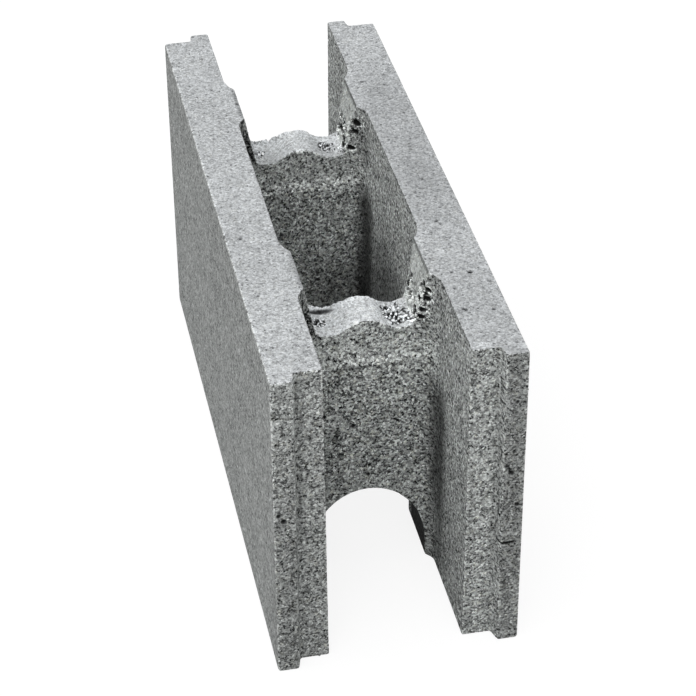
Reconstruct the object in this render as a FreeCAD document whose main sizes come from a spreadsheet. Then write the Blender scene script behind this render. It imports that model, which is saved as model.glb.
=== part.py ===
import FreeCAD, Part
import Sketcher
import math
import os

# Concrete formwork block, laid dry in courses and filled with concrete, cast in one piece.
# X runs across the two walls, Y along them and Z up. The origin is the middle of the underside.
# The front end, at -Y, carries the outer tongues and the rear end, at +Y, the inner ones.

doc = FreeCAD.newDocument("FormworkBlock")

# Driving dimensions, in millimetres, and one angle in degrees
drivingSizes = [
    ("overallLength", 500.0, "length over the tongues of both ends"),
    ("overallWidth", 175.0, "width over both walls"),
    ("overallHeight", 250.0, "height of one course"),
    ("wallThickness", 37.5, "wall at its top"),
    ("coreDraft", 0.37, "draft of the cells, in degrees: walls and webs thicken downwards"),
    ("lapDepth", 10.0, "how far the tongues of an end stand out"),
    ("tongueTip", 15.6, "front tongue, across its tip"),
    ("tongueRoot", 18.2, "front tongue, across its root"),
    ("lapClearance", 4.5, "play between a front tongue and the rear rebate that takes it"),
    ("rebateTaper", 1.2, "narrowing of a rear rebate from its mouth to its floor"),
    ("webPitch", 245.0, "from the middle of one web to the middle of the other"),
    ("webThickness", 41.0, "web below its ledge"),
    ("webTopThickness", 32.0, "web above its ledge"),
    ("ledgeDepth", 65.0, "from the block's top down to the ledge"),
    ("ledgeFall", 6.6, "height of the sloped ledge"),
    ("frontFlare", 13.0, "radius between a wall and the front of a web"),
    ("rearFlare", 27.0, "radius between a wall and the rear of a web"),
    ("saddleTopWidth", 88.0, "saddle over a web, across its mouth at the block's top"),
    ("saddleFloorWidth", 70.0, "saddle over a web, between the feet of its sloping sides"),
    ("crestDepth", 36.0, "from the block's top down to the crest of the wave"),
    ("valleyDepth", 45.4, "from the block's top down to the valleys of the wave"),
    ("valleySpacing", 52.0, "from one valley of the wave to the other"),
    ("crestRadius", 22.0, "radius of the wave at its crest"),
    ("archWidth", 86.0, "arch under a web, between its legs"),
    ("archHeight", 68.0, "arch under a web, up to its crown"),
    ("archSpring", 14.6, "straight height of the arch's legs"),
    ("overrun", 10.0, "how far a cut runs past the face that it opens"),
]
sheet = doc.addObject("Spreadsheet::Sheet", "Sizes")
for row, (alias, value, note) in enumerate(drivingSizes, start=1):
    sheet.set("A%d" % row, alias)
    sheet.set("B%d" % row, str(value))
    sheet.set("C%d" % row, note)
    sheet.setAlias("B%d" % row, alias)
doc.recompute()

block = doc.addObject("PartDesign::Body", "FormworkBlock")
block.Label = "formwork_block"
block.Placement = FreeCAD.Placement()

# Names for the numbers that a sketch gives its points and axes
start, end, centre = range(1, 4)
axisX, axisY = range(-1, -3, -1)
quarterTurn = math.pi / 2


def worth(formula):
    """The value of a formula on the driving sizes."""
    return float(block.evalExpression(formula))


def newSketch(name, role, level=None):
    """A sketch on an origin plane of the body, lifted to a level where one is given."""
    sketch = block.newObject("Sketcher::SketchObject", name)
    plane = [item for item in block.Origin.OriginFeatures if item.Role == role][0]
    sketch.AttachmentSupport = [(plane, "")]
    sketch.MapMode = "FlatFace"
    if level:
        sketch.setExpression("AttachmentOffset.Base.z", level)
    return sketch


def addLine(sketch, first, last):
    return sketch.addGeometry(Part.LineSegment(FreeCAD.Vector(*first, 0), FreeCAD.Vector(*last, 0)), False)


def addArc(sketch, middle, radius, first, last):
    """An arc, anticlockwise from the first angle to the last, in quarter turns."""
    circle = Part.Circle(FreeCAD.Vector(*middle, 0), FreeCAD.Vector(0, 0, 1), radius)
    arc = Part.ArcOfCircle(circle, first * quarterTurn, last * quarterTurn)
    return sketch.addGeometry(arc, False)


def hold(sketch, kind, *items):
    sketch.addConstraint(Sketcher.Constraint(kind, *items))


def bind(sketch, kind, items, formula):
    """A dimension that follows a formula on the driving sizes."""
    number = sketch.addConstraint(Sketcher.Constraint(kind, *items, worth(formula)))
    sketch.setExpression("Constraints[%d]" % number, formula)


def mirror(sketch, right, rightPoint, left, leftPoint):
    hold(sketch, "Symmetric", right, rightPoint, left, leftPoint, axisY)


def addOutline(sketch, corners, squared=True):
    """A closed outline of straight sides, with the ones along an axis held to it if squared."""
    sides = []
    for index, corner in enumerate(corners):
        following = corners[(index + 1) % len(corners)]
        side = addLine(sketch, corner, following)
        if squared and corner[1] == following[1]:
            hold(sketch, "Horizontal", side)
        if squared and corner[0] == following[0]:
            hold(sketch, "Vertical", side)
        sides.append(side)
    for index, side in enumerate(sides):
        hold(sketch, "Coincident", side, end, sides[(index + 1) % len(sides)], start)
    return sides


def cut(name, sketch, length=None, draft=None):
    """A pocket of a given length, or else through the whole block on both sides of its sketch."""
    before = block.Tip.Shape.Volume
    pocket = block.newObject("PartDesign::Pocket", name)
    pocket.Profile = sketch
    if length:
        pocket.setExpression("Length", length)
    else:
        pocket.Type = "ThroughAll"
        pocket.SideType = "Symmetric"
    if draft:
        pocket.setExpression("TaperAngle", draft)
    sketch.Visibility = False
    doc.recompute()
    if pocket.Shape.isNull() or pocket.Shape.Volume >= before:
        raise RuntimeError(name + " takes nothing away")
    return pocket


halfWidth = "Sizes.overallWidth / 2"
halfLength = "Sizes.overallLength / 2"

# The plain block, before its ends and cells are shaped
footprint = newSketch("Footprint", "XY_Plane")
right, rear = worth(halfWidth), worth(halfLength)
sides = addOutline(footprint, [(-right, -rear), (right, -rear), (right, rear), (-right, rear)])
hold(footprint, "Symmetric", sides[0], start, sides[2], start, axisX, start)
bind(footprint, "DistanceX", (sides[0], start, sides[0], end), "Sizes.overallWidth")
bind(footprint, "DistanceY", (sides[1], start, sides[1], end), "Sizes.overallLength")
blank = block.newObject("PartDesign::Pad", "Blank")
blank.Profile = footprint
blank.setExpression("Length", "Sizes.overallHeight")
footprint.Visibility = False
doc.recompute()

# The front end between its two tongues, whose inner flanks widen towards their roots
frontRecess = newSketch("FrontRecess", "XY_Plane", "Sizes.overallHeight")
tipPlace = halfWidth + " - Sizes.tongueTip"
rootPlace = halfWidth + " - Sizes.tongueRoot"
shoulder = halfLength + " - Sizes.lapDepth"
tip, root, lap = worth(tipPlace), worth(rootPlace), worth(shoulder)
sides = addOutline(frontRecess, [(-tip, -rear), (tip, -rear), (root, -lap), (-root, -lap)], False)
mirror(frontRecess, sides[0], end, sides[0], start)
mirror(frontRecess, sides[2], start, sides[2], end)
bind(frontRecess, "DistanceX", (axisX, start, sides[0], end), tipPlace)
bind(frontRecess, "DistanceX", (axisX, start, sides[2], start), rootPlace)
bind(frontRecess, "DistanceY", (sides[0], end, axisX, start), halfLength)
bind(frontRecess, "DistanceY", (sides[2], start, axisX, start), shoulder)
cut("FrontRecessCut", frontRecess, "Sizes.overallHeight")

# The two rebates of the rear end, which take the front tongues of the next block
rearRebates = newSketch("RearRebates", "XY_Plane", "Sizes.overallHeight")
mouthPlace = halfWidth + " - Sizes.tongueRoot - Sizes.lapClearance"
floorPlace = mouthPlace + " + Sizes.rebateTaper"
mouth, floor = worth(mouthPlace), worth(floorPlace)
rightSides = addOutline(rearRebates, [(floor, lap), (right, lap), (right, rear), (mouth, rear)])
leftSides = addOutline(rearRebates, [(-floor, lap), (-right, lap), (-right, rear), (-mouth, rear)], False)
for rightSide, leftSide in zip(rightSides[::2], leftSides[::2]):
    mirror(rearRebates, rightSide, start, leftSide, start)
    mirror(rearRebates, rightSide, end, leftSide, end)
bind(rearRebates, "DistanceX", (axisX, start, rightSides[0], start), floorPlace)
bind(rearRebates, "DistanceX", (axisX, start, rightSides[3], start), mouthPlace)
bind(rearRebates, "DistanceX", (axisX, start, rightSides[1], start), halfWidth)
bind(rearRebates, "DistanceY", (axisX, start, rightSides[0], start), shoulder)
bind(rearRebates, "DistanceY", (axisX, start, rightSides[3], start), halfLength)
cut("RearRebateCut", rearRebates, "Sizes.overallHeight")


def cellPlan(name, level, webSize, frontRadius, rearRadius, inset):
    """Plan of the foremost cell, from the web ahead of the block to the block's own front web.

    Its four corners are the flares of the webs that bound it.
    """
    sketch = newSketch(name, "XY_Plane", level)
    wallPlace = halfWidth + " - Sizes.wallThickness - " + inset
    low = "1.5 * Sizes.webPitch - " + webSize + " / 2 - " + inset
    high = "0.5 * Sizes.webPitch + " + webSize + " / 2 + " + inset
    radius, rearR = worth(frontRadius), worth(rearRadius)
    wall, lowY, highY = worth(wallPlace), -worth(low), -worth(high)
    frontSide = addLine(sketch, (-wall + rearR, lowY), (wall - rearR, lowY))
    frontRight = addArc(sketch, (wall - rearR, lowY + rearR), rearR, 3, 4)
    rightSide = addLine(sketch, (wall, lowY + rearR), (wall, highY - radius))
    backRight = addArc(sketch, (wall - radius, highY - radius), radius, 0, 1)
    backSide = addLine(sketch, (wall - radius, highY), (-wall + radius, highY))
    backLeft = addArc(sketch, (-wall + radius, highY - radius), radius, 1, 2)
    leftSide = addLine(sketch, (-wall, highY - radius), (-wall, lowY + rearR))
    frontLeft = addArc(sketch, (-wall + rearR, lowY + rearR), rearR, 2, 3)
    loop = [frontSide, frontRight, rightSide, backRight, backSide, backLeft, leftSide, frontLeft]
    for index, piece in enumerate(loop):
        hold(sketch, "Tangent", piece, end, loop[(index + 1) % len(loop)], start)
    hold(sketch, "Horizontal", frontSide)
    hold(sketch, "Horizontal", backSide)
    hold(sketch, "Vertical", rightSide)
    hold(sketch, "Vertical", leftSide)
    hold(sketch, "Equal", frontRight, frontLeft)
    hold(sketch, "Equal", backRight, backLeft)
    bind(sketch, "Radius", (frontRight,), rearRadius)
    bind(sketch, "Radius", (backRight,), frontRadius)
    bind(sketch, "DistanceX", (axisX, start, rightSide, start), wallPlace)
    bind(sketch, "DistanceX", (leftSide, end, axisX, start), wallPlace)
    bind(sketch, "DistanceY", (frontSide, end, axisX, start), low)
    bind(sketch, "DistanceY", (backSide, start, axisX, start), high)
    return sketch


# One cell, drafted from the top: first between webs at their full thickness, then wider above
# their ledges, and last the slope of the ledges, which runs out in the flares
ledgeStep = "(Sizes.webThickness - Sizes.webTopThickness) / 2"
frontFlare, rearFlare = "Sizes.frontFlare", "Sizes.rearFlare"
upperFront, upperRear = frontFlare + " + " + ledgeStep, rearFlare + " + " + ledgeStep
draftAtLedge = "Sizes.ledgeDepth * tan(Sizes.coreDraft)"
ledgeFront, ledgeRear = upperFront + " - " + draftAtLedge, upperRear + " - " + draftAtLedge
blockTop = "Sizes.overallHeight"
cell = cut("CellCut", cellPlan("Cell", blockTop, "Sizes.webThickness", frontFlare, rearFlare, "0"),
           "Sizes.overallHeight + Sizes.overrun", "-Sizes.coreDraft")
upperCell = cut("UpperCellCut",
                cellPlan("UpperCell", blockTop, "Sizes.webTopThickness", upperFront, upperRear, "0"),
                "Sizes.ledgeDepth", "-Sizes.coreDraft")
ledge = cut("LedgeCut",
            cellPlan("Ledge", "Sizes.overallHeight - Sizes.ledgeDepth", "Sizes.webTopThickness",
                     ledgeFront, ledgeRear, draftAtLedge),
            "Sizes.ledgeFall + Sizes.overrun", "-atan(" + ledgeStep + " / Sizes.ledgeFall)")

# The same cell once more on each web pitch: the block's two ends cut the outer ones in half
cells = block.newObject("PartDesign::LinearPattern", "Cells")
cells.Originals = [cell, upperCell, ledge]
lengthwise = [item for item in block.Origin.OriginFeatures if item.Role == "Y_Axis"][0]
cells.Direction = (lengthwise, [""])
cells.Mode = "Spacing"
cells.setExpression("Offset", "Sizes.webPitch")
cells.Occurrences = 3
block.Tip = cells
doc.recompute()

# The saddle over both webs, where the reinforcement lies: a wave between two sloping sides
saddle = newSketch("Saddle", "XZ_Plane")
crestLevel = "Sizes.overallHeight - Sizes.crestDepth - Sizes.crestRadius"
halfSpacing = "Sizes.valleySpacing / 2"
waveRise = "(Sizes.valleyDepth - Sizes.crestDepth)"
valleyRadius = ("(Sizes.valleySpacing ^ 2 / 4 + " + waveRise + " ^ 2) / (2 * " + waveRise + ")"
                " - Sizes.crestRadius")
mouthHalf, footHalf = worth("Sizes.saddleTopWidth / 2"), worth("Sizes.saddleFloorWidth / 2")
top, crestZ, valleyX = worth(blockTop), worth(crestLevel), worth(halfSpacing)
crestR, valleyR = worth("Sizes.crestRadius"), worth(valleyRadius)
valleyZ = worth("Sizes.overallHeight - Sizes.valleyDepth") + valleyR
lean = math.atan2(valleyZ - crestZ, valleyX) / quarterTurn
rim = math.acos((footHalf - valleyX) / valleyR) / quarterTurn
footZ = valleyZ - valleyR * math.sin(rim * quarterTurn)
rightSide = addLine(saddle, (footHalf, footZ), (mouthHalf, top))
mouthLine = addLine(saddle, (mouthHalf, top), (-mouthHalf, top))
leftSide = addLine(saddle, (-mouthHalf, top), (-footHalf, footZ))
leftValley = addArc(saddle, (-valleyX, valleyZ), valleyR, 2 + rim, 4 - lean)
crest = addArc(saddle, (0, crestZ), crestR, lean, 2 - lean)
rightValley = addArc(saddle, (valleyX, valleyZ), valleyR, 2 + lean, 4 - rim)
hold(saddle, "Coincident", rightSide, end, mouthLine, start)
hold(saddle, "Coincident", mouthLine, end, leftSide, start)
hold(saddle, "Coincident", leftSide, end, leftValley, start)
hold(saddle, "Coincident", rightValley, end, rightSide, start)
hold(saddle, "Tangent", leftValley, end, crest, end)
hold(saddle, "Tangent", crest, start, rightValley, start)
hold(saddle, "PointOnObject", crest, centre, axisY)
mirror(saddle, rightValley, centre, leftValley, centre)
mirror(saddle, rightSide, end, leftSide, start)
bind(saddle, "Radius", (crest,), "Sizes.crestRadius")
bind(saddle, "Radius", (rightValley,), valleyRadius)
bind(saddle, "DistanceY", (axisX, start, crest, centre), crestLevel)
bind(saddle, "DistanceX", (axisX, start, rightValley, centre), halfSpacing)
bind(saddle, "DistanceX", (axisX, start, rightSide, start), "Sizes.saddleFloorWidth / 2")
bind(saddle, "DistanceX", (leftSide, end, axisX, start), "Sizes.saddleFloorWidth / 2")
bind(saddle, "DistanceX", (axisX, start, rightSide, end), "Sizes.saddleTopWidth / 2")
bind(saddle, "DistanceY", (axisX, start, rightSide, end), blockTop)
cut("SaddleCut", saddle)

# The arch under both webs: half an ellipse on two short upright legs
arch = newSketch("Arch", "XZ_Plane")
halfArch, spring = worth("Sizes.archWidth / 2"), worth("Sizes.archSpring")
rise = worth("Sizes.archHeight - Sizes.archSpring")
crown, middle = FreeCAD.Vector(0, spring + rise, 0), FreeCAD.Vector(0, spring, 0)
leftEnd, rightEnd = FreeCAD.Vector(-halfArch, spring, 0), FreeCAD.Vector(halfArch, spring, 0)
if rise > halfArch:
    curve = Part.ArcOfEllipse(Part.Ellipse(crown, leftEnd, middle), -quarterTurn, quarterTurn)
else:
    curve = Part.ArcOfEllipse(Part.Ellipse(rightEnd, crown, middle), 0, 2 * quarterTurn)
base = addLine(arch, (-halfArch, 0), (halfArch, 0))
rightLeg = addLine(arch, (halfArch, 0), (halfArch, spring))
leftLeg = addLine(arch, (-halfArch, spring), (-halfArch, 0))
vault = arch.addGeometry(curve, False)
arch.exposeInternalGeometry(vault)
majorAxis, minorAxis = vault + 1, vault + 2
uprightAxis = majorAxis if rise > halfArch else minorAxis
hold(arch, "Coincident", base, end, rightLeg, start)
hold(arch, "Coincident", rightLeg, end, vault, start)
hold(arch, "Coincident", vault, end, leftLeg, start)
hold(arch, "Coincident", leftLeg, end, base, start)
hold(arch, "Vertical", rightLeg)
hold(arch, "Vertical", leftLeg)
hold(arch, "Vertical", uprightAxis)
hold(arch, "PointOnObject", base, end, axisX)
hold(arch, "PointOnObject", base, start, axisX)
hold(arch, "PointOnObject", vault, centre, axisY)
hold(arch, "Horizontal", rightLeg, end, vault, centre)
hold(arch, "Horizontal", leftLeg, start, vault, centre)
bind(arch, "DistanceX", (axisX, start, base, end), "Sizes.archWidth / 2")
bind(arch, "DistanceY", (axisX, start, vault, centre), "Sizes.archSpring")
bind(arch, "Distance", (uprightAxis,), "2 * (Sizes.archHeight - Sizes.archSpring)")
cut("ArchCut", arch)

doc.recompute()
for item in doc.Objects:
    if "Invalid" in item.State or "Error" in item.State:
        raise RuntimeError(item.Name + " did not build")
if block.Shape.isNull() or not block.Shape.isValid() or len(block.Shape.Solids) != 1:
    raise RuntimeError("the block is not one sound solid")

os.makedirs("parts", exist_ok=True)
block.Shape.exportStep("parts/" + block.Label + ".step")
box = block.Shape.BoundBox
print("%s: %.1f x %.1f x %.1f mm, %.2f litres of concrete"
      % (block.Label, box.XLength, box.YLength, box.ZLength, block.Shape.Volume / 1e6))
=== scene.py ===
import math

import bpy
from mathutils import Matrix, Vector


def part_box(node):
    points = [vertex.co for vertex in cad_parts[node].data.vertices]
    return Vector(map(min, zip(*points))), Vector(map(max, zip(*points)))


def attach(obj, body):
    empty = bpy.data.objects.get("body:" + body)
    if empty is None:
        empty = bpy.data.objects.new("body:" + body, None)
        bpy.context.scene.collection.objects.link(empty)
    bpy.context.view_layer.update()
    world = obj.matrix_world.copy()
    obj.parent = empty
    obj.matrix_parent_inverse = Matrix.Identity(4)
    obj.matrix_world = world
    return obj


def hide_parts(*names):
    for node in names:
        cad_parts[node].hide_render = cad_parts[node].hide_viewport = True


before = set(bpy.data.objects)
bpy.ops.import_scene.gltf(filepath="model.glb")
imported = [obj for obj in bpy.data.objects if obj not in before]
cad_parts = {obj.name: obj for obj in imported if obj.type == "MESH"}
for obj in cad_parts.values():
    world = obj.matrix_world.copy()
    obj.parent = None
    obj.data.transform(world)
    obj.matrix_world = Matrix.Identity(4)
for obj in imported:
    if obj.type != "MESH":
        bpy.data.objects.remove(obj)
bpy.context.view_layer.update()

mm = 0.001


class Sock:  # one socket of a node tree, so that node maths reads as plain maths
    def __init__(self, graph, socket):
        self.graph = graph
        self.socket = socket

    def outlet(self, number):  # another outlet of the same node
        return Sock(self.graph, [s for s in self.socket.node.outputs if s.enabled][number])

    def __add__(self, other):
        return self.graph.maths("ADD", self, other)

    def __radd__(self, other):
        return self.graph.maths("ADD", other, self)

    def __sub__(self, other):
        return self.graph.maths("SUBTRACT", self, other)

    def __rsub__(self, other):
        return self.graph.maths("SUBTRACT", other, self)

    def __mul__(self, other):
        return self.graph.maths("MULTIPLY", self, other)

    def __rmul__(self, other):
        return self.graph.maths("MULTIPLY", other, self)

    def __truediv__(self, other):
        return self.graph.maths("DIVIDE", self, other)

    def __rtruediv__(self, other):
        return self.graph.maths("DIVIDE", other, self)

    def __abs__(self):
        return self.graph.maths("ABSOLUTE", self)


class Graph:  # adds nodes and their links to one tree
    def __init__(self, tree):
        self.tree = tree

    def node(self, kind, settings=None, sockets=None, give=0):
        made = self.tree.nodes.new(kind)
        for name, value in (settings or {}).items():
            setattr(made, name, value)
        shown = [s for s in made.inputs if s.enabled]
        for key, value in (sockets or {}).items():
            inlet = shown[key] if isinstance(key, int) else next(s for s in shown if s.name == key)
            if isinstance(value, Sock):
                self.tree.links.new(value.socket, inlet)
            else:
                inlet.default_value = value
        outlets = [s for s in made.outputs if s.enabled]
        return Sock(self, outlets[give]) if outlets else made

    def maths(self, operation, *values):
        return self.node("ShaderNodeMath", {"operation": operation}, dict(enumerate(values)))

    def vector(self, operation, *values):
        return self.node("ShaderNodeVectorMath", {"operation": operation}, dict(enumerate(values)))

    def larger(self, *values):
        most = values[0]
        for value in values[1:]:
            most = self.maths("MAXIMUM", most, value)
        return most

    def split(self, vector):
        first = self.node("ShaderNodeSeparateXYZ", sockets={0: vector})
        return first, first.outlet(1), first.outlet(2)

    def join(self, x, y, z):
        return self.node("ShaderNodeCombineXYZ", sockets={0: x, 1: y, 2: z})

    def band(self, value, low, high):  # rises smoothly from 0 at low to 1 at high
        ends = {"Value": value, "From Min": low, "From Max": high}
        return self.node("ShaderNodeMapRange", {"interpolation_type": "SMOOTHSTEP"}, ends)

    def between(self, first, second, share):  # first where share is 0, second where it is 1
        return first + (second - first) * share

    def noise(self, at, size, detail=2.0, rough=0.5):
        values = {"Vector": at, "Scale": 1 / size, "Detail": detail, "Roughness": rough}
        return self.node("ShaderNodeTexNoise", None, values)

    def cells(self, at, size):  # distance to the nearest seed in sizes; outlet 1 is the cell's random colour
        return self.node("ShaderNodeTexVoronoi", {"feature": "F1"}, {"Vector": at, "Scale": 1 / size})

    def pores(self, at, spacing, share, low, high):  # depth of round voids scattered through the mass
        seed = self.cells(at, spacing)
        pick, wide = self.split(seed.outlet(1))[:2]
        radius = self.between(low, high, wide) * self.maths("LESS_THAN", pick, share)
        away = seed * spacing
        return self.maths("SQRT", self.larger(radius * radius - away * away, 0.0))

    def mix(self, share, first, second):  # first colour where share is 0, second where it is 1
        values = {"Factor": share, "A": first, "B": second}
        return self.node("ShaderNodeMix", {"data_type": "RGBA"}, values)

    def grit(self, at, size, reach):  # the point, shaken by noise, so that round shapes turn ragged
        shake = self.vector("SUBTRACT", self.noise(at, size).outlet(1), (0.5, 0.5, 0.5))
        return self.vector("ADD", at, self.vector("SCALE", shake, reach))


def newTree(name, sizes):  # a Geometry Nodes tree with one named input for each size
    tree = bpy.data.node_groups.new(name, "GeometryNodeTree")
    tree.interface.new_socket("Geometry", in_out="INPUT", socket_type="NodeSocketGeometry")
    for word in sizes:
        tree.interface.new_socket(word, in_out="INPUT", socket_type="NodeSocketFloat")
    tree.interface.new_socket("Geometry", in_out="OUTPUT", socket_type="NodeSocketGeometry")
    graph = Graph(tree)
    shape = graph.node("NodeGroupInput")
    return graph, shape, {word: shape.outlet(number + 1) for number, word in enumerate(sizes)}


def addTree(piece, tree, sizes):
    modifier = piece.modifiers.new(tree.name, "NODES")
    modifier.node_group = tree
    for item in tree.interface.items_tree:
        if item.in_out == "INPUT" and item.name in sizes:
            modifier[item.identifier] = float(sizes[item.name])


def settle(piece):  # the modifiers' result becomes the piece's own plain mesh
    seen = piece.evaluated_get(bpy.context.evaluated_depsgraph_get())
    made = bpy.data.meshes.new_from_object(seen)
    piece.modifiers.clear()
    piece.data = made
    made.name = piece.name


def countTriangles(piece):
    return sum(len(face.vertices) - 2 for face in piece.data.polygons)


def addPiece(name, mesh):
    piece = bpy.data.objects.new(name, mesh)
    bpy.context.scene.collection.objects.link(piece)
    return piece


# The casting. What wears, pits or breaks goes inwards, so that its skin never leaves the solid's box.
casting = {
    "voxel": 0.85,  # mm, the squares of the remeshed skin
    "quickVoxel": 2.2,
    "triangles": 194000,
    "webY": 122.5,  # centre of a web, from the middle of the block
    "webHalf": 16,  # half the thickness of a web's top
    # how open the skin is, from 0, trowelled, to 1, honeycomb
    "openness": {
        "inner": 0.4,
        "outer": 0.04,
        "top": 0.25,
        "end": 0.8,
        "web": 1.0,
        "aboveLedge": 0.78,
        "haunch": 1.0,
    },
    "poreShare": (0.08, 0.42),  # of all cells, in the densest and the most open skin
    "ragged": (2.0, 1.6),  # size of the noise that shakes the outlines of voids, and how far it moves them
    "edgeBlur": 12,  # rounds of smoothing that find the edges
    "sizes": {
        "waveDepth": 0.3,
        "waveSize": 45,
        "lumpDepth": 0.55,
        "lumpSize": 12,
        "grainDepth": 0.4,
        "grainSize": 3.2,
        "poreSpacing": 11,
        "poreLow": 0.5,
        "poreHigh": 2.0,
        "voidDepth": 3.6,
        "voidSize": 2.7,
        "markDepth": 1.6,
        "holeDepth": 1.5,
        "arrisWear": 0.55,
        "chipDepth": 1.5,
        "chipSize": 8,
        "lipHeight": 4.5,
    },
    # honeycombed patches beside each web: centre from the web's own, reach along x, y and z,
    # and how many times smaller it is on the rear web
    "patches": [
        ((24, 1, 205), (10, 13, 6), 1.5),
        ((38, 15, 217), (6, 8, 12), 1.0),
        ((39, 3, 220), (5, 8, 8), 1.0),
        ((40, -12, 228), (6, 7, 11), 1.0),
        ((37, -11, 211), (6, 7, 8), 1.0),
        ((-30, 2, 205), (5, 6, 4), 1.1),
        ((-40, -10, 226), (8, 13, 20), 1.0),
    ],
    # small broken spots on the front tongues and the tops: centre and radius
    "marks": [
        ((-83.7, -250, 139.1), 2.0),
        ((-80.4, -250, 134.4), 2.2),
        ((-84.0, -250, 199.0), 1.4),
        ((-72.5, -250, 193.0), 1.3),
        ((75.0, -250, 155.7), 1.8),
        ((78.0, -250, 150.0), 2.2),
        ((79.5, -250, 168.6), 1.5),
        ((72.7, -250, 119.5), 1.5),
        ((82.6, -250, 122.3), 1.8),
        ((53.6, 189.0, 250), 1.3),
        ((51.4, 173.7, 250), 1.4),
        ((56.9, 141.9, 250), 1.7),
        ((69.1, -16.2, 250), 1.2),
        ((64.9, -75.8, 250), 1.3),
        ((67.1, -80.1, 250), 1.1),
        ((72.4, -146.2, 250), 2.0),
        ((59.9, -144.0, 250), 1.3),
        ((58.2, -191.4, 250), 1.5),
        ((76.9, -194.4, 250), 1.5),
        ((56.9, -164.5, 250), 1.2),
        ((-46.0, 127.0, 250), 1.5),
        ((81.8, -235.8, 250), 1.3),
    ],
    # holes between loose stones on the right flanks of the webs: centre and radius
    "holeSqueeze": (0.25, 0.55, 0.85),  # shares of the distance along x, y and z, so they are long and deep
    "holes": [
        ((37.2, -103.8, 217.6), 1.5),
        ((36.7, -114.6, 215.2), 1.7),
        ((37.0, -109.4, 216.4), 1.1),
        ((41.4, -135.7, 237.4), 1.8),
        ((40.6, -131.9, 233.7), 1.2),
        ((42.0, -141.5, 235.7), 1.5),
        ((41.0, -140.9, 232.2), 1.0),
        ((41.8, -141.5, 228.5), 1.5),
        ((38.5, -132.9, 223.4), 1.4),
        ((36.3, -130.3, 213.4), 1.9),
        ((38.6, -140.0, 218.7), 1.3),
        ((35.5, -131.6, 209.3), 1.5),
        ((37.0, -139.5, 212.6), 1.5),
        ((36.5, 138.7, 214.2), 1.8),
        ((37.0, 131.9, 216.3), 2.0),
        ((38.0, 118.0, 221.1), 1.4),
        ((38.4, 108.5, 223.0), 1.3),
        ((38.1, 131.5, 221.6), 1.5),
        ((38.4, 137.3, 223.0), 1.3),
        ((40.9, 106.7, 235.4), 1.4),
        ((43.0, 102.8, 235.3), 1.9),
        ((39.4, 106.6, 228.2), 1.6),
        ((41.9, 103.4, 227.4), 1.4),
        ((36.4, 117.6, 213.4), 1.9),
        ((35.4, 117.3, 208.8), 1.5),
        ((38.7, 105.0, 212.2), 1.4),
        ((36.4, 123.7, 213.6), 1.2),
    ],
    # a short crack on the right front tongue, which sags in the middle
    "crack": {
        "centre": 75.9,
        "half": 6.2,
        "ends": 89.6,  # height
        "sag": 0.8,
        "width": 1.3,
        "depth": 1.8,
        "back": -242,
    },
}


def faceMasks(graph, at, normal):  # which face of the casting a point is on, each from 0 to 1
    x, y, z = graph.split(at)
    nx, ny, nz = graph.split(normal)
    wide, far = abs(x), abs(y)
    masks = {}
    masks["top"] = graph.band(nz, 0.5, 0.8) * graph.band(z, 196, 201)
    masks["outer"] = graph.band(abs(nx), 0.7, 0.9) * graph.band(wide, 85, 86.5)
    masks["end"] = graph.band(abs(ny), 0.7, 0.9) * graph.band(far, 234, 237)
    web = graph.band(abs(ny), 0.45, 0.75) * graph.band(wide, 51, 49) * graph.band(far, 234, 230)
    masks["web"] = web * (1 - graph.band(z, 206, 216) * 0.85)  # the flares above it are smooth
    flank = graph.band(abs(nx), 0.6, 0.8) * graph.band(wide, 47, 45) * graph.band(wide, 33, 35)
    masks["haunch"] = flank * graph.band(z, 200, 206) * graph.band(fromWeb(graph, y), -19, -16.5)
    return masks


def fromWeb(graph, y):  # how far behind the middle of the nearer web a point is
    return y - graph.maths("SIGN", y) * casting["webY"]


def voidDepths(graph, at, size, rough):  # pores, honeycomb, broken spots and the crack, in mm
    y = graph.split(at)[1]
    warped = graph.grit(at, *casting["ragged"])
    share = graph.between(*casting["poreShare"], rough)
    pores = graph.pores(warped, size["poreSpacing"], share, size["poreLow"], size["poreHigh"])

    webAt = graph.vector("SUBTRACT", at, graph.join(0, graph.maths("SIGN", y) * casting["webY"], 0))
    near = []
    rear = graph.band(y, -1, 1)
    stray = (graph.noise(at, 5.0) - 0.5) * 1.3  # no patch has an even outline
    for centre, reach, shrink in casting["patches"]:
        away = graph.vector("DIVIDE", graph.vector("SUBTRACT", webAt, centre), reach)
        away = graph.vector("LENGTH", away) * graph.between(1.0, shrink, rear) + stray
        near.append(graph.band(away, 1.2, 0.6))
    patch = graph.larger(*near)
    comb = graph.noise(warped, size["voidSize"], 1.0)
    comb = graph.band(comb + patch * 0.1, 0.54, 0.63) * patch * size["voidDepth"]

    marks = graph.band(spotsAway(graph, warped, casting["marks"]), 1.3, 0.4) * size["markDepth"]
    away = spotsAway(graph, warped, casting["holes"], casting["holeSqueeze"])
    holes = graph.band(away, 1.3, 0.5) * size["holeDepth"]
    gap = crackShare(graph, at) * casting["crack"]["depth"]
    return graph.larger(pores, comb, gap, marks, holes), patch


def spotsAway(graph, at, spots, squeeze=(1, 1, 1)):  # distance to the nearest spot, in its own radii
    at = graph.vector("MULTIPLY", at, squeeze)
    nearest = 9
    for centre, radius in spots:
        centre = tuple(along * share for along, share in zip(centre, squeeze))
        nearest = graph.maths("MINIMUM", nearest, graph.vector("DISTANCE", at, centre) / radius)
    return nearest


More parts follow.
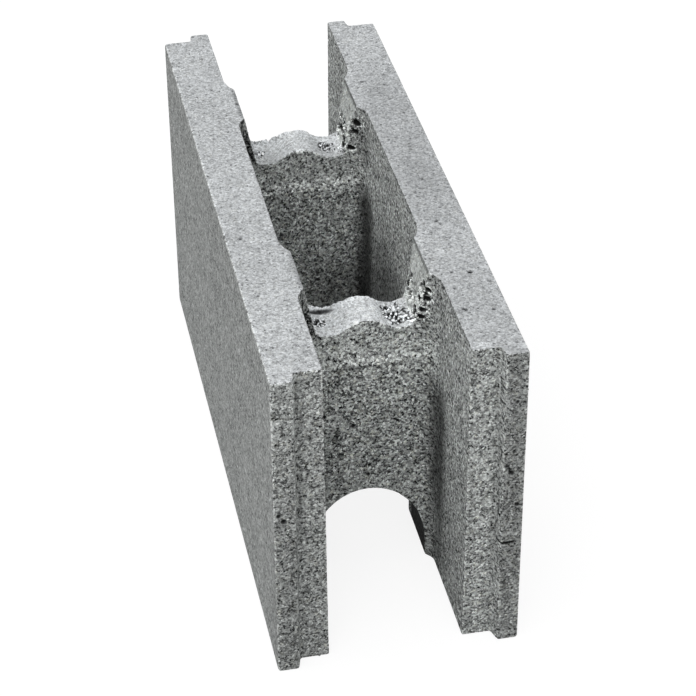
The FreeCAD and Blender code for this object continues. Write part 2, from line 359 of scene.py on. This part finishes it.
def crackShare(graph, at):  # 1 in the middle of the crack
    x, y, z = graph.split(at)
    crack = casting["crack"]
    along = (x - crack["centre"]) / crack["half"]
    line = along * along * crack["sag"] + (crack["ends"] - crack["sag"])
    away = abs(z - line + graph.noise(at, 2.2) * 1.6 - 0.8)
    gap = graph.band(away, crack["width"], crack["width"] * 0.4) * graph.band(abs(along), 1.05, 0.9)
    return gap * graph.band(y, crack["back"] + 1, crack["back"] - 1)


def lipRise(graph, at, size):  # the ragged lip along the rear edge of each web's top, highest on the left
    x, y, z = graph.split(at)
    back = fromWeb(graph, y) - casting["webHalf"]
    lip = graph.band(back, -3.0, -0.8) * graph.band(z, 197, 204) * graph.band(z, 224, 218)
    lip = lip * graph.band(abs(x), 44, 38) * graph.band(back, 3.0, 1.0)
    ragged = graph.band(graph.noise(at, 4.0), 0.25, 0.6)
    return lip * ragged * graph.between(0.3, 1.0, graph.band(x, -8, -22)) * size["lipHeight"]


def reliefTree():
    graph, shape, size = newTree("castRelief", casting["sizes"])
    spot = graph.node("GeometryNodeInputPosition")
    normal = graph.node("GeometryNodeInputNormal")
    at = graph.vector("SCALE", spot, 1 / mm)
    masks = faceMasks(graph, at, normal)
    openness = dict(casting["openness"])
    above = graph.band(graph.split(at)[2], 178, 188)
    openness["web"] = graph.between(openness["web"], openness["aboveLedge"], above)
    rough = openness["inner"]
    for name in ("outer", "top", "end", "web", "haunch"):
        rough = graph.between(rough, openness[name], masks[name])

    waves = graph.noise(at, size["waveSize"], 1.0) * size["waveDepth"]
    lumps = graph.noise(at, size["lumpSize"]) * size["lumpDepth"] * rough
    grain = graph.noise(at, size["grainSize"], 1.0) * size["grainDepth"] * rough
    voids, patch = voidDepths(graph, at, size, rough)

    smoothing = {"Value": spot, "Iterations": casting["edgeBlur"]}
    blurred = graph.node("GeometryNodeBlurAttribute", {"data_type": "FLOAT_VECTOR"}, smoothing)
    pull = graph.vector("SUBTRACT", blurred, spot)
    arris = graph.band(graph.vector("DOT_PRODUCT", pull, normal) * (-1 / mm), 0.12, 0.8)
    chips = graph.band(graph.noise(at, size["chipSize"]), 0.54, 0.7) * size["chipDepth"] * (rough + 0.25)
    wear = size["arrisWear"] * (graph.noise(at, 5.0) + 0.5) + chips

    kept = {"rough": rough, "patch": patch, "arris": arris, "void": graph.band(voids, 0.2, 1.4), **masks}
    store = {"data_type": "FLOAT", "domain": "POINT"}
    for name, value in kept.items():
        values = {"Geometry": shape, "Name": name, "Value": value}
        shape = graph.node("GeometryNodeStoreNamedAttribute", store, values)
    worn = graph.vector("SCALE", pull, wear * arris)
    sunk = graph.vector("SCALE", normal, (waves + lumps + grain + voids) * -mm)
    raised = graph.join(0, 0, lipRise(graph, at, size) * mm)
    moved = graph.vector("ADD", graph.vector("ADD", worn, sunk), raised)
    shape = graph.node("GeometryNodeSetPosition", None, {"Geometry": shape, "Offset": moved})
    shape = keepInBox(graph, shape)
    graph.node("NodeGroupOutput", None, {0: shape})
    return graph.tree


def keepInBox(graph, shape):  # nothing reaches past the solid's own corners
    low, high = (tuple(corner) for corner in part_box("formwork_block"))
    spot = graph.node("GeometryNodeInputPosition")
    inside = graph.vector("MINIMUM", graph.vector("MAXIMUM", spot, low), high)
    return graph.node("GeometryNodeSetPosition", None, {"Geometry": shape, "Position": inside})


def makeCasting():
    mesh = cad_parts["formwork_block"].data.copy()
    mesh.materials.clear()
    piece = addPiece("formworkBlock", mesh)
    weld = piece.modifiers.new("weld", "WELD")
    weld.merge_threshold = 0.00001
    skin = piece.modifiers.new("skin", "REMESH")
    skin.mode = "VOXEL"
    skin.voxel_size = casting["voxel"] * mm
    settle(piece)
    print("casting: remeshed skin", len(piece.data.vertices), "points")
    addTree(piece, reliefTree(), casting["sizes"])
    settle(piece)
    print("casting: relief cut")
    thin = piece.modifiers.new("thin", "DECIMATE")
    thin.ratio = min(1, casting["triangles"] / countTriangles(piece))
    settle(piece)
    piece.data.shade_smooth()
    print("casting: thinned to", countTriangles(piece), "triangles")
    return piece


# Broken stone that shows in the open skin of the webs, the flanks and the ends
stones = {
    "sizes": {"perSquareMetre": 52000, "smallest": 0.5, "largest": 1.25, "sunk": 0.35},
    "squash": ((1.0, 0.7, 0.55), (1.3, 1.0, 0.8)),  # least and most of a stone's length, width and height
    "seed": 11,
    "tones": (0.55, 1.3),  # darkest and palest, against the open concrete's tone
    "whitest": 0.7,  # what the palest few gain
    "roughness": 0.85,
    "specular": 0.3,
}


def stoneTree(material):
    graph, shape, size = newTree("exposedStones", stones["sizes"])
    number = {"data_type": "FLOAT"}
    three = {"data_type": "FLOAT_VECTOR"}
    rough = graph.node("GeometryNodeInputNamedAttribute", number, {"Name": "rough"})
    void = graph.node("GeometryNodeInputNamedAttribute", number, {"Name": "void"})
    spot = graph.node("GeometryNodeInputPosition")
    patchy = graph.band(graph.noise(spot, 20 * mm), 0.35, 0.6)
    hole = graph.larger(void, crackShare(graph, graph.vector("SCALE", spot, 1 / mm)))
    density = graph.band(rough, 0.6, 0.95) * size["perSquareMetre"] * (patchy * 0.8 + 0.2) * (1 - hole)
    values = {"Mesh": shape, "Density": density, "Seed": stones["seed"]}
    points = graph.node("GeometryNodeDistributePointsOnFaces", {"distribute_method": "RANDOM"}, values)
    down = graph.vector("SCALE", points.outlet(1), size["sunk"] * -mm)
    points = graph.node("GeometryNodeSetPosition", None, {"Geometry": points, "Offset": down})
    tone = graph.node("FunctionNodeRandomValue", number, {"Seed": 3})
    values = {"Geometry": points, "Name": "tone", "Value": tone}
    store = {"data_type": "FLOAT", "domain": "POINT"}
    points = graph.node("GeometryNodeStoreNamedAttribute", store, values)
    stone = graph.node("GeometryNodeMeshIcoSphere", None, {"Radius": mm, "Subdivisions": 1})
    least, most = stones["squash"]
    squash = graph.node("FunctionNodeRandomValue", three, {"Min": least, "Max": most, "Seed": 5})
    spread = graph.node("FunctionNodeRandomValue", number, {"Seed": 6})
    girth = graph.between(size["smallest"], size["largest"], spread * spread)
    turns = {"Min": (0.0, 0.0, 0.0), "Max": (math.tau, math.tau, math.tau), "Seed": 7}
    turned = graph.node("FunctionNodeRandomValue", three, turns)
    values = {
        "Points": points,
        "Instance": stone,
        "Rotation": graph.node("FunctionNodeEulerToRotation", None, {0: turned}),
        "Scale": graph.vector("SCALE", squash, girth),
    }
    shape = graph.node("GeometryNodeInstanceOnPoints", None, values)
    shape = graph.node("GeometryNodeRealizeInstances", None, {0: shape})
    shape = keepInBox(graph, shape)
    shape = graph.node("GeometryNodeSetMaterial", None, {"Geometry": shape, "Material": material})
    graph.node("NodeGroupOutput", None, {0: shape})
    return graph.tree


def makeStones(block, material):
    piece = addPiece("exposedStones", block.data)
    addTree(piece, stoneTree(material), stones["sizes"])
    settle(piece)
    print("stones:", countTriangles(piece), "triangles")
    return piece


# Concrete: tones are plain reflectances, sizes are in mm.
concrete = {
    "topTone": (0.528, 0.545, 0.557, 1),
    "skinTone": (0.44, 0.454, 0.448, 1),
    "roughTone": (0.385, 0.4, 0.392, 1),
    "grainSizes": (0.9, 1.35, 2.2, 5.5),
    # swing of the grains' tones about the mean, and shares of black and white grains, on each kind of face
    "grains": {
        "top": (0.74, 0.045, 0.02),
        "outer": (1.0, 0.02, 0.03),
        "inner": (1.75, 0.055, 0.07),
        "end": (1.5, 0.05, 0.075),
        "web": (1.5, 0.055, 0.09),
        "haunch": (0.65, 0.03, 0.05),
    },
    "streakWidths": (7, 21),
    "streakLength": 130,
    # painted shade in the corners between webs and walls: where, from the middle of a web, reach, and how
    # dark
    "corners": ((-36, 12, 1.0), (38, 16.8, 0.5)),
    "ledgeFoot": 177.3,  # height of the painted shadow line under the webs' ledges
    "rimNoise": (1.3, 1.6),  # size of the noise that shakes the grains' outlines, and how far it moves them
    # how much paler the concrete is here than its plain tone; on the arrises this is partly worn edges and
    # partly painted highlight
    "lift": {
        "web": 0.17,
        "inner": 0.12,
        "saddle": 0.2,
        "haunch": 0.66,
        "arris": 0.45,
        "patch": 0.45,
        "whiteGrain": 1.1,
    },
    # how dark the darkest point of each of these is, from 0, no darker, to 1, black: corner, ledgeFoot and
    # soffit are painted shade, the rest are the concrete's own dark grains, pores, voids, holes, crack,
    # marks and scratches
    "shade": {
        "blackGrain": 0.72,
        "pore": 0.45,
        "void": 0.93,
        "hole": 0.94,
        "corner": 0.75,
        "ledgeFoot": 0.45,
        "soffit": 0.95,
        "crack": 0.96,
        "mark": 0.8,
        "scratch": 0.5,
    },
    "roughness": 0.92,
    "specular": 0.1,
    "pores": {"spacing": 6.0, "share": 0.35, "low": 0.3, "high": 0.75},
    "warmth": (0.05, 0, -0.16),  # what the warmest grains add to red, green and blue
    # soft light and dark areas: centre, reach, and the change in the middle. The first ones are stains and
    # tone across the faces; from the right inner wall on they are painted shade and painted shadow, with one
    # painted highlight on the rear lip
    "shadeAndStains": [
        ((0, -140, 170), (60, 30, 45), 0.12),
        ((0, 104, 220), (60, 30, 38), -0.2),
        ((60, -240, 125), (9, 14, 190), 0.3),
        ((79, -250, 125), (10, 14, 190), -0.22),
        ((-79, -250, 125), (10, 14, 190), -0.08),
        ((-57, -240, 125), (9, 12, 190), 0.09),
        ((-68, -200, 250), (26, 90, 8), 0.05),
        ((-70, -250, 250), (40, 20, 130), 0.14),
        ((-70, -250, 20), (40, 20, 120), -0.14),
        ((68, 60, 250), (26, 120, 8), -0.18),
        ((68, -190, 250), (26, 80, 8), -0.08),
        ((70, -45, 250), (26, 70, 8), -0.13),
        ((0, 122, 214), (24, 30, 14), 0.15),
        ((0, -122, 214), (24, 30, 14), 0.15),
        # painted shadow on the right inner wall of the cavity, and painted shade in the rear arch
        ((49, 10, 110), (12, 75, 75), -0.6),
        ((49, 94, 110), (14, 13, 85), -0.35),
        ((38, 101, 72), (36, 14, 42), -0.4),
        # painted shade along the left walls' inner top edges, and painted shadow lines at the steps of the
        # front tongues
        ((-45.3, 127, 250), (2.6, 34, 3), -0.4),
        ((-45.3, -118, 250), (2.6, 34, 3), -0.3),
        ((-67, -240, 190), (4, 13, 90), -0.3),
        ((69, -245, 125), (2.5, 7, 200), -0.35),
        # painted shade in the flares on the right beside the webs
        ((47, -152, 225), (9, 15, 30), -0.25),
        ((47, 93, 225), (9, 15, 30), -0.3),
        # painted shade under the rear lip of the near web, and a painted highlight on the lip
        ((-28, -109.4, 206), (13, 1.7, 3), -0.92),
        ((-28, -106.5, 209), (14, 2.6, 2.6), 0.4),
    ],
}


def newMaterial(name):
    material = bpy.data.materials.new(name)
    material.use_nodes = True
    material.node_tree.nodes.clear()
    return material, Graph(material.node_tree)


def grains(graph, at, size):  # three random numbers for each small cell, and the distance to its middle
    middle = graph.cells(at, size)
    return (*graph.split(middle.outlet(1)), middle)


def cornerShade(graph, x, y, z):  # painted shade: how deep a point lies in a flare between web and wall
    along = fromWeb(graph, y)
    beside = 49 - abs(x)
    shade = []
    for middle, reach, depth in concrete["corners"]:
        away = (along - middle) * 0.45
        away = graph.maths("SQRT", away * away + beside * beside)
        shade.append(graph.band(away, reach, reach * 0.25) * depth)
    shade = graph.larger(*shade) * graph.band(abs(x), 53, 50)
    rear = graph.band(y, -1, 1)
    shade = shade * graph.band(z, graph.between(180, 188, rear), graph.between(145, 168, rear))
    return shade * graph.between(0.55, 1.0, graph.band(z, 20, 90))


def flankShade(graph, x, y, z):  # painted shade on the front of the left flanks, where the honeycomb is also dark, with a paler strip above
    along = fromWeb(graph, y)
    flank = graph.band(x, -34, -36) * graph.band(x, -54, -51) * graph.band(z, 204, 208)
    flank = flank * graph.band(along, -26, -22)
    flank = flank * graph.band(along, 30, 24)
    pale = graph.band(z, 230, 236) * graph.band(x, -45.5, -44)
    return flank * (1 - pale * 0.8) * graph.between(0.85, 0.2, graph.band(along, -6, 6))


def shadeAndStainShare(graph, at):  # the sum of the soft light and dark areas: painted shade, a painted highlight, and stains
    total = 0
    for centre, reach, change in concrete["shadeAndStains"]:
        away = graph.vector("DIVIDE", graph.vector("SUBTRACT", at, centre), reach)
        total = total + graph.band(graph.vector("LENGTH", away), 1.25, 0.4) * change
    return total


def concreteMaterial():
    material, graph = newMaterial("concrete")
    lift, shade = concrete["lift"], concrete["shade"]
    at = graph.vector("SCALE", graph.node("ShaderNodeTexCoord", give=3), 1 / mm)
    x, y, z = graph.split(at)
    face = {}
    for name in ("rough", "void", "arris", "patch", "top", "outer", "web", "end", "haunch"):
        face[name] = graph.node("ShaderNodeAttribute", {"attribute_name": name}, give=2)
    rough, void, arris, patch, top, outer, web, end, haunch = face.values()
    inner = (1 - top) * (1 - web) * (1 - end) * (1 - outer) * (1 - haunch)
    face["inner"] = inner
    upper = graph.band(z, 176, 187)
    openness = web * graph.band(z, 66, 92) * (1 - upper)  # the middle of a web is the most open
    saddle = top * graph.band(z, 245, 240)

    colour = graph.mix(rough, concrete["skinTone"], concrete["roughTone"])
    colour = graph.mix(top, colour, concrete["topTone"])

    swing = black = white = 0
    for name, (nameSwing, nameBlack, nameWhite) in concrete["grains"].items():
        swing = swing + face[name] * nameSwing
        black = black + face[name] * nameBlack
        white = white + face[name] * nameWhite
    black = black + openness * 0.08 + patch * 0.05
    white = white + openness * 0.04 + patch * 0.3

    loose = graph.grit(at, *concrete["rimNoise"])
    tiny, small, medium, large = concrete["grainSizes"]
    drawn = graph.vector("MULTIPLY", loose, (1, 0.72, 1))  # the finest lie along the block
    tinyTone = grains(graph, drawn, tiny)[0]
    smallTone, pickBlack, pickWhite, middle = grains(graph, loose, small)
    mediumTone, pickWarm, pickDark = grains(graph, loose, medium)[:3]
    largeTone = grains(graph, loose, large)[0]
    cloud = graph.noise(at, 38, 3.0) - 0.5
    patchy = graph.noise(at, 13, 2.0) - 0.5
    cluster = graph.band(patchy, -0.13, 0.13) * 1.4 + 0.3
    black = black * graph.between(1.0, cluster, web)
    blackest = graph.band(pickBlack + black, 1.0, 1.05)
    blackest = graph.larger(blackest, graph.band(pickDark + black * 0.6, 1.0, 1.05))
    whitest = graph.band(pickWhite + white, 1.0, 1.05)

    side = (1 - top) * (1 - web) * (1 - end)
    streak = 0
    for width in concrete["streakWidths"]:
        stretch = (1 / width, 1 / width, 1 / concrete["streakLength"])
        streak = streak + graph.noise(graph.vector("MULTIPLY", at, stretch), 1.0, 2.0) - 0.5
    grainTone = (tinyTone - 0.5) * 0.6 + (smallTone - 0.5) * (1.0 - top * 0.2)
    grainTone = (grainTone + (mediumTone - 0.5) * (0.6 - end * 0.25 - top * 0.25)) * swing
    grainTone = grainTone + (largeTone - 0.5) * side * 0.25
    tone = 1.0 + grainTone + cloud * (0.25 - top * 0.1)
    tone = tone + patchy * (0.25 + openness * 0.35 - upper * web * 0.1) + streak * side * 0.18
    tone = tone * (1 - blackest * shade["blackGrain"]) + whitest * (lift["whiteGrain"] + openness * 0.4)

    level = 1.0 + web * (lift["web"] - openness * 0.06) + inner * lift["inner"]
    level = level + saddle * lift["saddle"] + haunch * lift["haunch"]
    rightPatch = patch * graph.band(x, -36, -32)
    # paler along the arrises: partly worn edges, partly painted highlight
    level = level + arris * (lift["arris"] - top * 0.12) + rightPatch * (lift["patch"] + haunch * 0.4)
    lumps = graph.band(graph.noise(loose, 2.2, 1.0), 0.46, 0.58)
    holesAway = spotsAway(graph, loose, casting["holes"], casting["holeSqueeze"])
    level = level + graph.band(holesAway, 3.0, 1.3) * (lumps * 2.1 - 0.25)
    # painted shade, a painted highlight and stains
    level = level * (1 + shadeAndStainShare(graph, at))
    pore = graph.pores(at, *concrete["pores"].values())
    level = level * (1 - graph.band(pore, 0.0, 0.5) * shade["pore"]) * (1 - void * shade["void"])
    hole = graph.band(graph.noise(loose, 2.4, 1.0), 0.54, 0.58) * graph.band(patch, 0.25, 0.5)
    hole = graph.larger(hole * (1 - haunch * 0.5), graph.band(holesAway, 1.45, 0.95))
    rim = haunch * graph.band(z, 245, 247.4) * 0.6  # painted shade: the dark line under the tops' edges
    rim = rim + inner * graph.band(z, 246.5, 248.5) * 0.3
    level = level * (1 - hole * shade["hole"]) * (1 - rim)
    flank = flankShade(graph, x, y, z) * (1 - top) * (lumps * 0.45 + 0.55)
    # painted shade in the corners between webs and walls and on the left flanks
    level = level * (1 - cornerShade(graph, x, y, z) * shade["corner"]) * (1 - flank)
    # painted shadow line under the webs' ledges
    foot = web * graph.band(abs(z - concrete["ledgeFoot"]), 1.4, 0.5) * graph.band(x, 34, -4)
    level = level * (1 - foot * shade["ledgeFoot"])
    soffit = graph.band(z, 72, 60) * graph.band(abs(x), 46, 44) * (1 - web)  # painted shade inside the arches
    soffit = soffit * graph.band(abs(fromWeb(graph, y)), 25, 20)
    level = level * (1 - soffit * shade["soffit"])
    marks = graph.band(spotsAway(graph, loose, casting["marks"]), 1.3, 0.4)
    level = level * (1 - crackShare(graph, at) * shade["crack"]) * (1 - marks * shade["mark"])
    flat = graph.vector("MULTIPLY", at, (0.4, 0.4, 1))  # scratches that lie level on the ends
    scratch = graph.band(abs(graph.noise(flat, 2.6, 1.0) - 0.5), 0.035, 0.0)
    scratch = scratch * graph.band(graph.noise(at, 7.0), 0.52, 0.6) * end
    level = level * (1 - scratch * shade["scratch"])
    colour = graph.vector("SCALE", colour, graph.larger(tone * level, 0.02))
    warm = graph.band(pickWarm, 0.8, 1.0) * (rough * 0.3 + 0.05)
    tint = graph.vector("ADD", (1, 1, 1), graph.vector("SCALE", concrete["warmth"], warm))
    colour = graph.vector("MULTIPLY", colour, tint)

    grain = (smallTone - 0.5) * 0.35 + (mediumTone - 0.5) * 0.5 + (0.5 - middle) * 0.5
    height = grain * graph.between(0.15, 1.0, rough) - blackest * rough * 0.9
    height = height - (pore + scratch + hole) * 0.7
    bump = graph.node("ShaderNodeBump", None, {"Strength": 1.0, "Distance": mm, "Height": height})
    values = {
        "Base Color": colour,
        "Roughness": concrete["roughness"],
        "Normal": bump,
        "Specular IOR Level": concrete["specular"],
    }
    shader = graph.node("ShaderNodeBsdfPrincipled", None, values)
    graph.node("ShaderNodeOutputMaterial", None, {"Surface": shader})
    return material


def stoneMaterial():
    material, graph = newMaterial("exposedStone")
    at = graph.vector("SCALE", graph.node("ShaderNodeTexCoord", give=3), 1 / mm)
    tone = graph.node("ShaderNodeAttribute", {"attribute_name": "tone"}, give=2)
    dust = graph.noise(at, 1.4, 2.0)
    level = graph.between(*stones["tones"], tone) + graph.band(tone, 0.72, 0.9) * stones["whitest"]
    colour = graph.vector("SCALE", concrete["roughTone"][:3], level * (dust * 0.5 + 0.75))
    bump = graph.node("ShaderNodeBump", None, {"Strength": 1.0, "Distance": mm, "Height": dust * 0.4})
    values = {
        "Base Color": colour,
        "Roughness": stones["roughness"],
        "Normal": bump,
        "Specular IOR Level": stones["specular"],
    }
    shader = graph.node("ShaderNodeBsdfPrincipled", None, values)
    graph.node("ShaderNodeOutputMaterial", None, {"Surface": shader})
    return material


# The photograph's camera, found from the block's corners: turn and height in degrees, distances in mm
camera = {
    "azimuth": -11.4,
    "elevation": 34.69,
    "roll": -0.48,
    "aim": (-14.15, -79.63),  # the block's middle, across and up in the camera's own axes
    "distance": 1841.99,
    "focal": 2299.24,  # pixels
    "frame": 696,  # pixels
    "sensor": 36,
}


def addCamera():
    turn, height, roll = (math.radians(camera[word]) for word in ("azimuth", "elevation", "roll"))
    back = Vector((math.sin(turn) * math.cos(height), -math.cos(turn) * math.cos(height), math.sin(height)))
    right = Vector((0, 0, 1)).cross(back).normalized()
    up = back.cross(right)
    across = right * math.cos(roll) + up * math.sin(roll)
    upright = up * math.cos(roll) - right * math.sin(roll)
    matrix = Matrix((across, upright, back)).transposed()
    place = matrix @ Vector((camera["aim"][0], camera["aim"][1], -camera["distance"])) * -mm
    data = bpy.data.cameras.new("camera")
    data.sensor_width = camera["sensor"]
    data.lens = camera["focal"] / camera["frame"] * camera["sensor"]
    matrix = matrix.to_4x4()
    matrix.translation = place
    holder = bpy.data.objects.new("camera", data)
    holder.matrix_world = matrix
    bpy.context.scene.collection.objects.link(holder)
    bpy.context.scene.camera = holder


light = {
    "sky": 0.42,
    # soft suns: strength, size, and turns about x, y and z from straight down, in degrees
    "suns": {"above": (1.3, 70, (4, -20, 0)), "front": (0.8, 45, (46, 0, -11))},
    "floor": (0.3, 0.3, 0.3, 1),
    "seenFloor": (0.2, 0.2, 0.2, 1),
    "glow": 0.85,
    "floorSize": 6,  # metres
}


def seenRays(graph):  # 1 for rays that come from the camera, or by way of gloss or glass
    path = graph.node("ShaderNodeLightPath")
    gloss, through = path.outlet(3), path.outlet(6)
    return graph.larger(path, gloss, through)


def addStage():
    world = bpy.data.worlds.new("studio")
    world.use_nodes = True
    world.node_tree.nodes.clear()
    graph = Graph(world.node_tree)
    strength = graph.between(light["sky"], 1.0, seenRays(graph))
    back = graph.node("ShaderNodeBackground", None, {"Color": (1, 1, 1, 1), "Strength": strength})
    graph.node("ShaderNodeOutputWorld", None, {"Surface": back})
    bpy.context.scene.world = world

    for name, (strength, size, turns) in light["suns"].items():
        data = bpy.data.lights.new(name, "SUN")
        data.energy = strength
        data.angle = math.radians(size)
        sun = bpy.data.objects.new(name, data)
        sun.rotation_euler = [math.radians(turn) for turn in turns]
        bpy.context.scene.collection.objects.link(sun)

    half = light["floorSize"] / 2
    mesh = bpy.data.meshes.new("floor")
    corners = [(-half, -half, 0), (half, -half, 0), (half, half, 0), (-half, half, 0)]
    mesh.from_pydata(corners, [], [(0, 1, 2, 3)])
    floor = addPiece("floor", mesh)
    material, graph = newMaterial("paleFloor")
    matt = graph.node("ShaderNodeBsdfDiffuse", None, {"Color": light["floor"]})
    glow = graph.node("ShaderNodeEmission", None, {"Color": (1, 1, 1, 1), "Strength": light["glow"]})
    shown = graph.node("ShaderNodeBsdfDiffuse", None, {"Color": light["seenFloor"]})
    shown = graph.node("ShaderNodeAddShader", None, {0: shown, 1: glow})
    shader = graph.node("ShaderNodeMixShader", None, {0: seenRays(graph), 1: matt, 2: shown})
    graph.node("ShaderNodeOutputMaterial", None, {"Surface": shader})
    mesh.materials.append(material)


addCamera()
addStage()
block = makeCasting()
stoneWork = makeStones(block, stoneMaterial())
block.data.materials.append(concreteMaterial())
for piece in (block, stoneWork):
    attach(piece, "root")
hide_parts("formwork_block")
bpy.context.scene.view_settings.view_transform = "Standard"
print("materials and lights set")
